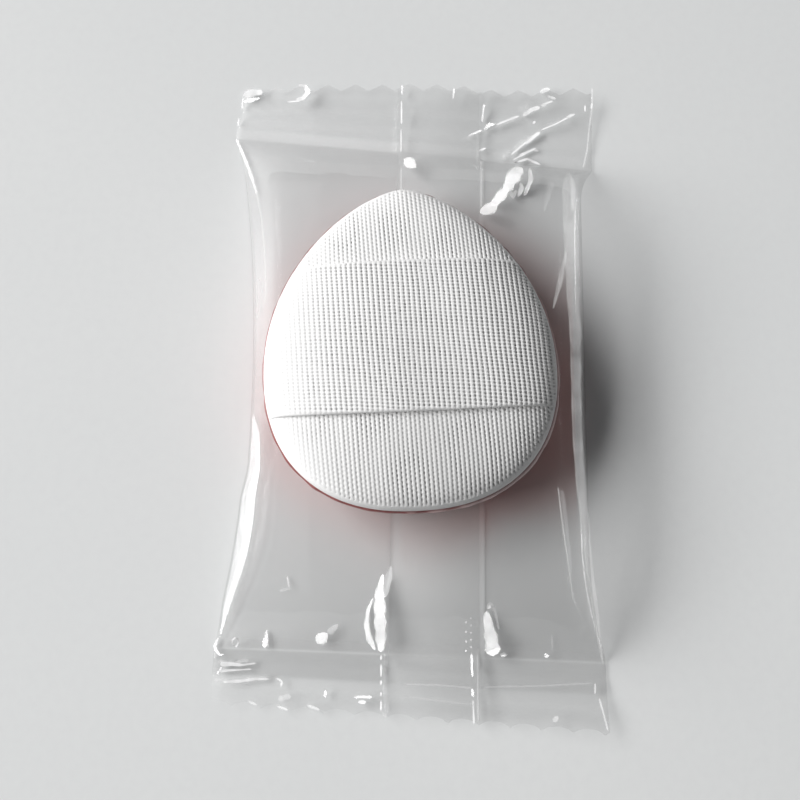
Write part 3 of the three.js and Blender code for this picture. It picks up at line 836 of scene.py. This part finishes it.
def film_path(y):
    """x, z and part of each point of the web across the sachet at y. Parts: 0 fin, its two plies as one,
    1 under ply left of it, 2 left corner, 3 top, 4 right corner, 5 under ply right of the fin,
    6 over it, 7 its root."""
    from_tail, from_head = y - TAIL_SEAL, HEAD_SEAL - y
    full = min(swell(from_tail, TAIL_SWELL_RUN), swell(from_head, HEAD_SWELL_RUN))
    right_neck = min(swell(from_tail, RIGHT_TAIL_NECK_RUN), swell(from_head, RIGHT_HEAD_NECK_RUN))
    left = float(left_edge(y))
    right = FLAT_WIDTH / 2 - FILM_GAUGE / 2 - right_neck * (FLAT_WIDTH / 2 - RIGHT_WAIST)
    height = lerp(FIN_PLY, PILLOW_HEIGHT - FILM_GAUGE, full)
    right_z = lerp(FIN_PLY / 2, height * RIGHT_SIDE_HEIGHT_SHARE, full)
    left_z = FIN_PLY / 2  # also the left corner's run
    corner = lerp(FIN_PLY / 2, RIGHT_CORNER_RUN, full)
    quarter = np.linspace(0, pi / 2, 7)
    xs, zs, parts = [], [], []

    def add(x, z, part):
        x = np.asarray(x, float)
        xs.append(x)
        zs.append(np.broadcast_to(z, x.shape).astype(float))
        parts.append(np.full(x.shape, part))

    add(np.linspace(FIN_EDGE, FIN_ROOT, 20, endpoint=False), LOW_PLY_Z, 0)
    add(np.linspace(FIN_ROOT, -left + left_z, 74, endpoint=False), LOW_PLY_Z, 1)
    turn = quarter[::2]
    add(-(left - left_z * (1 - np.sin(turn))), LOW_PLY_Z + left_z * (1 - np.cos(turn)), 2)
    inward, up = half_top(left, height - left_z, LEFT_LEAN, 62)
    fin_lift = on_fin(-left + inward[1:]) - LOW_PLY_Z
    add(-left + inward[1:], LOW_PLY_Z + left_z + up[1:] + fin_lift * (1 - full), 3)
    inward, up = half_top(right, height - right_z, 0, 62)
    fin_lift = on_fin(right - inward[1:-1]) - LOW_PLY_Z
    add((right - inward[1:-1])[::-1], (LOW_PLY_Z + right_z + up[1:-1] + fin_lift * (1 - full))[::-1], 3)
    turn = quarter[::-1]
    add(right - corner * (1 - np.sin(turn)), LOW_PLY_Z + right_z * (1 - np.cos(turn)), 4)
    foot = STEP_CLEARANCE + STEP_RUN
    add(np.linspace(right - corner, FIN_EDGE + foot, 54)[1:], LOW_PLY_Z, 5)
    x = np.linspace(FIN_EDGE + foot, FIN_EDGE + STEP_CLEARANCE, 4)[1:]
    add(x, on_fin(x), 6)
    over = LOW_PLY_Z + 2 * FIN_PLY
    radius = FIN_PLY / 2
    add(np.linspace(FIN_EDGE + STEP_CLEARANCE, FIN_ROOT + radius, 30)[1:-1], over, 6)
    turn = np.linspace(0, pi, 5)
    add(FIN_ROOT + radius - radius * np.sin(turn), over - radius + radius * np.cos(turn), 7)
    x, z = np.concatenate(xs), np.concatenate(zs)
    near_wall = np.clip(x / right, 0, 1) ** 4
    x = x - RIGHT_LEAN * (z - LOW_PLY_Z) * near_wall * ease(full, 0, 0.4)
    return x, z, np.concatenate(parts)


def cut_depth(x, tail_in, head_in):
    """How far the knife's teeth bite into each end: sharp points at the head, scallops at the tail."""
    shifts = TAIL_TOOTH_SHIFT, HEAD_TOOTH_SHIFT
    tail, head = (np.abs((x - shift) / TOOTH_PITCH % 1 - 0.5) * 2 for shift in shifts)
    head = (1 - head) * HEAD_TOOTH_SCALE * TOOTH_DEPTH * ease(head_in, 0.8, 1)
    tail = np.sqrt(np.clip(1 - tail ** 2, 0, 1)) * TOOTH_DEPTH * ease(tail_in, 0.8, 1)
    return tail - head


def film_tint(x, y, tail_depth, head_depth, part):
    """How much each ply dims what lies behind it, partly the plies' own dimming and partly painted shade:
    more towards the lower right and beside the puff's right side, where shade falls, in the fin, and in a
    strip of each crimped band. The depths are millimetres into the bands."""
    across = ease(x, -21, 12)
    along = ease(y, 22, -24)
    body = 0.03 + 0.19 * across + along * (0.06 + 0.1 * ease(x, -18, -6))
    past_root = ease(x, FIN_ROOT - 0.3, FIN_ROOT + 0.3)
    past_edge = ease(x, FIN_EDGE - 0.3, FIN_EDGE + 0.3)
    body = body + 0.24 * (past_root - 0.8 * past_edge) * along * ease(y, -28, -24)
    # Painted shade on the film beside the puff's right side.
    body = body + 0.1 * ease(x, 12, 15) * between(y, -12, -6, 6, 14)
    strip = between(tail_depth, 0.1, 0.4, 2.8, 3.3)
    tail = 0.04 + 0.25 * across + (0.33 - 0.12 * across) * strip
    inner = ease(head_depth, 1.8, 0.8)
    head = 0.08 + 0.15 * across + 0.15 * ease(head_depth, 6, 7.2)
    head = head - 0.13 * inner * (1 - across) - 0.05 * (x < -12)
    tint = np.where(tail_depth > 0, tail, np.where(head_depth > 0, head, body))
    fin = 0.04 + 0.2 * ease(x, FIN_ROOT, FIN_EDGE)
    return np.where((part == 0) | (part >= 6), fin, tint)


def sachet_film():
    rows = film_rows()
    x, z, part = (np.stack(values) for values in zip(*map(film_path, rows[0])))
    row_y, rise, tail_in, head_in = (values[:, None] for values in rows)
    skew = x / (FLAT_WIDTH / 2)
    y = row_y + rise * skew
    sealed = np.maximum(tail_in, head_in)
    y = y + cut_depth(x, tail_in, head_in)
    bow = between(x, -20, -15, 2, 14)
    y = y + HEAD_BOW_OUT * bow * head_in
    flare = HEAD_CORNER_FLARE * np.exp(-((row_y - HEAD_SEAL - 0.6) / 2.4) ** 2)
    x = x - flare * ease(-x, 10, 20.4)

    top = (part == 3) | (part == 2) & (z > 0.3) | (part == 4) & (z > 0.3)
    body = ease(sealed, 0.03, 0)
    facet = knots(row_y, FACET_PLACES, FACET_WIDTHS, 0.5)
    inward = x + left_edge(row_y)
    edge_fold = FACET_SLOPE * np.clip(inward, 0, facet)
    edge_fold = edge_fold * (1 - ease(inward, facet, facet * 1.7 + 0.5))
    edge_gloss = ease(facet, 0.05, 0.3) * (inward < facet + 0.1)
    edge_back = (inward > facet + 0.2) * (inward < facet * 1.7 + 0.7) * (facet > 0.05)
    fold = edge_fold * body
    z = z + np.where(part == 1, fold, 0)
    z = np.where((part == 3) & (fold > 0.02), np.maximum(z, on_fin(x) + fold + 0.12), z)

    near_tail = ease(y, TAIL_SEAL + 13, TAIL_SEAL)
    near_head = ease(y, HEAD_SEAL - 9, HEAD_SEAL)
    lively = np.maximum(near_tail, near_head)
    crinkle = 0.05 * Waves(SEED + 40, 5)(x, y) + 0.02 * Waves(SEED + 41, 2.2)(x, y)
    z = z + np.where(top, crinkle * (0.15 + 0.85 * lively) * ease(z, 1, 3), 0)

    tail_depth = np.broadcast_to(tail_in * (TAIL_SEAL - TAIL_CUT), x.shape)
    head_depth = np.broadcast_to(head_in * (HEAD_CUT - HEAD_SEAL), x.shape)
    from_seal = tail_depth + head_depth
    in_seal = ease(from_seal, 0, 0.25)
    bars = sum(h * np.exp(-((from_seal - at) / half) ** 2) for at, half, h in CRIMP_BARS) * in_seal
    relief, white = np.zeros(x.shape), np.zeros(x.shape)
    for line in CREASES:
        height, whiteness = crease(x, y, *line)
        relief, white = relief + height, np.maximum(white, whiteness)
    z = z + 0.6 * (bars + 0.07 * in_seal) + 0.3 * relief * in_seal
    flutter = ease(sealed, 0, 1)
    z = z + flutter * np.maximum(CUT_LIFT + 0.15 * Waves(SEED + 42, 17, 6)(x, y * 0.4), 0)
    at_corner = ease(x, CORNER_LIFT_START, FLAT_WIDTH / 2)
    z = z + (TAIL_CORNER_LIFT * tail_in ** 2 + HEAD_CORNER_LIFT * head_in ** 2) * at_corner
    z = z + HEAD_BOW_UP * bow * head_in ** 2
    z = np.maximum(z, LOW_PLY_Z)

    points = np.stack([x, y, z], -1).reshape(-1, 3)
    strips, strip_faces, strips_white, strips_gloss = white_strips(points[top.ravel()], len(points))
    faces = np.concatenate([grid_faces(*x.shape), strip_faces])

    puff_x, puff_y = into_puff(x, y)
    over_puff = 1 - ease(spread_at(puff_x, puff_y), 0.95, 1.2)
    left_shoulder = ease(z, 5.5, 7.5) * (x < -10) * ease(y, 21.5, 19.5)
    gloss = np.where(top, lerp(1, 0.35, sealed > 0), lerp(0.85, 0.2, sealed > 0))
    by_tail = ease(y, TAIL_SEAL + 5, TAIL_SEAL)
    by_seal = np.maximum(by_tail, ease(y, HEAD_SEAL - 6, HEAD_SEAL))
    dull = (1 - 0.65 * over_puff) * (1 - 0.9 * left_shoulder) * (1 - 0.75 * by_seal)
    gloss = np.where(top, gloss * dull, gloss)
    gloss = np.where((part == 0) | (part >= 6), 0.06, gloss)
    glints = GLINT * edge_gloss * body * (part == 1)
    gloss = gloss * (1 - 0.95 * edge_back * (part == 1))
    gloss = np.maximum(gloss, np.maximum(glints, np.minimum(2 * white, 1) * top))
    tint = film_tint(x, y, tail_depth, head_depth, part)

    # Painted highlights: broken white lines along the fin's root and edge, mostly near the seals.
    root = np.exp(-((x - FIN_ROOT) / 0.1) ** 2) * (part >= 6)
    edge = np.exp(-((x - FIN_EDGE) / 0.14) ** 2) * (part == 0)
    broken = ease(Waves(SEED + 43, 2.4)(x * 0.2, y), -0.1, 0.7)
    near_seals = np.maximum(ease(y, 20, 27), ease(y, -23, -28))
    lines = (0.12 * root + 0.2 * edge) * broken * (0.15 + 0.85 * near_seals)
    haze = np.where(top, 0.018, 0.004) + lines
    # Pale bands of the crimp bars, and the creases' painted highlights.
    haze = haze + np.where(top, 0.03 * in_seal + 0.6 * np.clip(bars, -0.03, 1) + 1.4 * white * in_seal, 0)
    into_tail = y - TAIL_SEAL - TAIL_SEAL_RISE * skew
    into_head = HEAD_SEAL + HEAD_SEAL_RISE * skew - y
    pale = between(into_tail, -0.15, 0.1, 0.75, 1.1) * (1 - 0.5 * ease(x, -4, 0))
    pale_head = between(into_head, -1.4, -1, 0.4, 1.2) * (1 - 0.7 * ease(x, -2, 10))
    # Painted light: the film's upper left a little paler.
    upper_left = 0.09 * ease(x, -9, -17) * ease(y, -2, 8)
    haze = haze + np.where(top, 0.12 * pale + 0.06 * pale_head + upper_left, 0)
    # Painted light: the left wall paler where the window lights it.
    lit_wall = (part == 3) * ease(-x, 14, 15.5) * ease(z, 1, 2.5) * ease(y, -8, -2)
    lit_wall = lit_wall * (1 - 0.7 * ease(y, 10, 21)) * ease(y, 27, 23)
    # Painted light: a paler band just inside the left facet's glint.
    beside = np.clip((inward - facet) / 2.2, 0, 1)
    beside = (part == 1) * (1 - beside) ** 2 * (inward > facet) * ease(facet, 0.3, 1) * body
    haze = np.clip(haze + 0.13 * lit_wall + 0.22 * beside, 0, 0.9)
    none = np.zeros(len(strips))
    return new_mesh(
        "sachet_film_clear", np.concatenate([points, strips]), faces,
        gloss=[gloss.ravel(), strips_gloss], tint=[tint.ravel(), none],
        haze=[haze.ravel(), strips_white], blush=[blush(x, y, part).ravel(), none],
    )


# Materials

class Nodes:
    """A material's node tree, with short ways to add and link nodes."""

    def __init__(self, name):
        self.material = bpy.data.materials.new(name)
        self.material.use_nodes = True
        self.tree = self.material.node_tree
        self.tree.nodes.clear()

    def add(self, kind, inputs=(), **settings):
        """A node, with inputs as pairs of a socket and a number, a colour or another node's output."""
        node = self.tree.nodes.new("ShaderNode" + kind)
        for key, value in settings.items():
            setattr(node, key, value)
        for socket, value in inputs:
            if isinstance(value, (int, float)):
                node.inputs[socket].default_value = value
            elif isinstance(value, tuple):
                node.inputs[socket].default_value = (*value, 1)
            else:
                self.tree.links.new(value, node.inputs[socket])
        return node

    def show(self, shader):
        self.add("OutputMaterial", [("Surface", shader)])
        return self.material

    def coordinates(self):
        return self.add("TexCoord").outputs["Object"]

    def attribute(self, name):
        return self.add("Attribute", attribute_name=name).outputs["Fac"]

    def math(self, operation, *values):
        return self.add("Math", enumerate(values), operation=operation).outputs[0]

    def shader(self, kind, *inputs):
        return self.add("Bsdf" + kind, inputs).outputs[0]

    def blend(self, share, a, b):
        return self.add("MixShader", enumerate((share, a, b))).outputs[0]

    def noise(self, scale, detail=3, roughness=0.55):
        inputs = [("Vector", self.coordinates()), ("Scale", scale)]
        inputs += [("Detail", detail), ("Roughness", roughness)]
        return self.add("TexNoise", inputs).outputs["Fac"]

    def ramp(self, source, *stops):
        """A colour ramp from (position, colour) to (position, colour). A single number is a grey."""
        node = self.add("ValToRGB", [("Fac", source)])
        for element, (position, color) in zip(node.color_ramp.elements, stops):
            element.position = position
            element.color = (*color, 1) if isinstance(color, tuple) else (color, color, color, 1)
        return node.outputs["Color"]

    def mix(self, share, a, b, blend="MIX"):
        inputs = [(0, share), (6, a), (7, b)]
        return self.add("Mix", inputs, data_type="RGBA", blend_type=blend).outputs[2]

    def bump(self, source, distance, strength=1):
        inputs = [("Strength", strength), ("Distance", distance), ("Height", source)]
        return self.add("Bump", inputs).outputs["Normal"]

    def principled(self, color, rough, normal, *inputs):
        usual = ("Base Color", color), ("Roughness", rough), ("Normal", normal)
        return self.show(self.shader("Principled", *usual, *inputs))


def cloth_material(name, white, painted_hole_grey):
    n = Nodes(name)
    fibres = n.noise(9000, 4, 0.7)
    tone = n.ramp(n.noise(260), (0.3, tuple(c * 0.965 for c in white)), (0.7, white))
    tone = n.mix(n.ramp(fibres, (0.35, 0), (0.75, 0.22)), tone, tuple(c * 0.86 for c in white))
    # Painted shade: the weave's holes darken towards a grey.
    tone = n.mix(n.attribute("openness"), tone, painted_hole_grey)
    sheen = ("Sheen Weight", 0.12), ("Sheen Roughness", 0.5)
    return n.principled(tone, 0.92, n.bump(fibres, 0.00004, 0.6), *sheen)


def skin_material():
    n = Nodes("pink_skin")
    pores = n.noise(5200, 4, 0.7)
    tone = n.ramp(n.noise(180), (0.35, (0.56, 0.16, 0.155)), (0.7, (0.64, 0.2, 0.19)))
    tone = n.mix(n.ramp(pores, (0.4, 0), (0.7, 0.25)), tone, (0.68, 0.27, 0.26))
    return n.principled(tone, 0.72, n.bump(pores, 0.00005, 0.7))


def weld_material():
    n = Nodes("weld")
    grain = n.noise(2600, 4, 0.65)
    tone = n.ramp(grain, (0.35, (0.2, 0.045, 0.042)), (0.7, (0.33, 0.09, 0.085)))
    # Painted highlight: the pale outer edge of the bead on the lower right.
    tone = n.mix(n.attribute("pale"), tone, (0.95, 0.76, 0.75))
    rough = n.ramp(grain, (0.3, 0.45), (0.8, 0.65))
    return n.principled(tone, rough, n.bump(grain, 0.00005, 0.5))


def foam_material():
    n = Nodes("foam")
    cells = n.add("TexVoronoi", [("Vector", n.coordinates()), ("Scale", 3200)]).outputs["Distance"]
    tone = n.ramp(cells, (0.1, (0.55, 0.4, 0.35)), (0.5, (0.86, 0.74, 0.68)))
    return n.principled(tone, 0.95, n.bump(cells, 0.0001, 0.8))


def barrier_material():
    n = Nodes("barrier")
    ripple = n.noise(700, 2)
    tone = n.ramp(ripple, (0.3, (0.74, 0.72, 0.67)), (0.7, (0.82, 0.8, 0.75)))
    return n.principled(tone, 0.4, n.bump(ripple, 0.00005, 0.4))


def film_material():
    """Clear film: what is behind shows through, dimmed partly by the plies themselves and partly by painted
    shade, and given painted pink bounce light near the puff; with a mirror gloss that grows towards grazing,
    and a white haze where the crimps, folds and creases have stressed it, which also paints highlights and
    pale glows."""
    n = Nodes("clear_film")
    facing = n.add("LayerWeight", [("Blend", 0.5)]).outputs["Facing"]
    sheen = n.math("MULTIPLY_ADD", n.math("POWER", facing, 3.2), 0.82, 0.04)
    # Painted shade together with the plies' own dimming: the see-through colour greys.
    dimmed = n.mix(n.attribute("tint"), (1, 1, 1), (0.8, 0.8, 0.8))
    # Painted pink bounce light from the face, on the under ply.
    warmed = n.mix(n.attribute("blush"), dimmed, (1, 0.75, 0.73), "MULTIPLY")
    clear = n.shader("Transparent", ("Color", warmed))
    mirror = n.shader("Glossy", ("Roughness", 0.05))
    sheer = n.blend(n.math("MULTIPLY", sheen, n.attribute("gloss")), clear, mirror)
    stressed = ("Color", (0.97, 0.97, 0.97))
    white = n.blend(0.12, n.shader("Diffuse", stressed), n.shader("Translucent", stressed))
    return n.show(n.blend(n.attribute("haze"), sheer, white))


def floor_material():
    n = Nodes("table_top")
    grain = n.noise(900)
    tone = n.ramp(n.noise(14, 2), (0.3, (0.69, 0.7, 0.7)), (0.7, (0.717, 0.725, 0.722)))
    tone = n.mix(n.ramp(grain, (0.4, 0), (0.7, 0.25)), tone, (0.665, 0.67, 0.675))
    return n.principled(tone, 0.75, n.bump(grain, 0.00003, 0.3), ("Specular IOR Level", 0.2))


# Scene

def make_floor():
    corners = [(-FLOOR, -FLOOR, 0), (FLOOR, -FLOOR, 0), (FLOOR, FLOOR, 0), (-FLOOR, FLOOR, 0)]
    piece = new_mesh("table_top", corners, [(0, 1, 2, 3)])
    piece.location.z = -0.00002
    piece.data.materials.append(floor_material())


def dress(piece, material, body, node):
    piece.data.materials.append(material)
    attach(piece, body)
    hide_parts(node)
    return piece


make_camera()
make_light()
make_floor()

CLOTH_WHITE = (0.93, 0.925, 0.92)
# Painted shade: the grey that the weave's holes are darkened towards.
HOLE_SHADE_GREY = (0.34, 0.33, 0.325)

film = dress(sachet_film(), film_material(), "sachet", "sachet_film")
skin = dress(face_skin(), skin_material(), "puff_face", "face_skin")
foam = dress(foam_core(), foam_material(), "puff_face", "foam_core")
back_look = cloth_material("ribbed_cloth", CLOTH_WHITE, HOLE_SHADE_GREY)
cloth = dress(back_cloth(), back_look, "puff_back", "back_cloth")
band_look = cloth_material("band_cloth", CLOTH_WHITE, HOLE_SHADE_GREY)
band = dress(finger_band(), band_look, "puff_back", "finger_band")
weld = dress(edge_weld(), weld_material(), "puff_back", "edge_weld")

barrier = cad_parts["barrier_film"]
barrier.data.materials.clear()
barrier.data.materials.append(barrier_material())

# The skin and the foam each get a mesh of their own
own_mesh(skin)
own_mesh(foam)
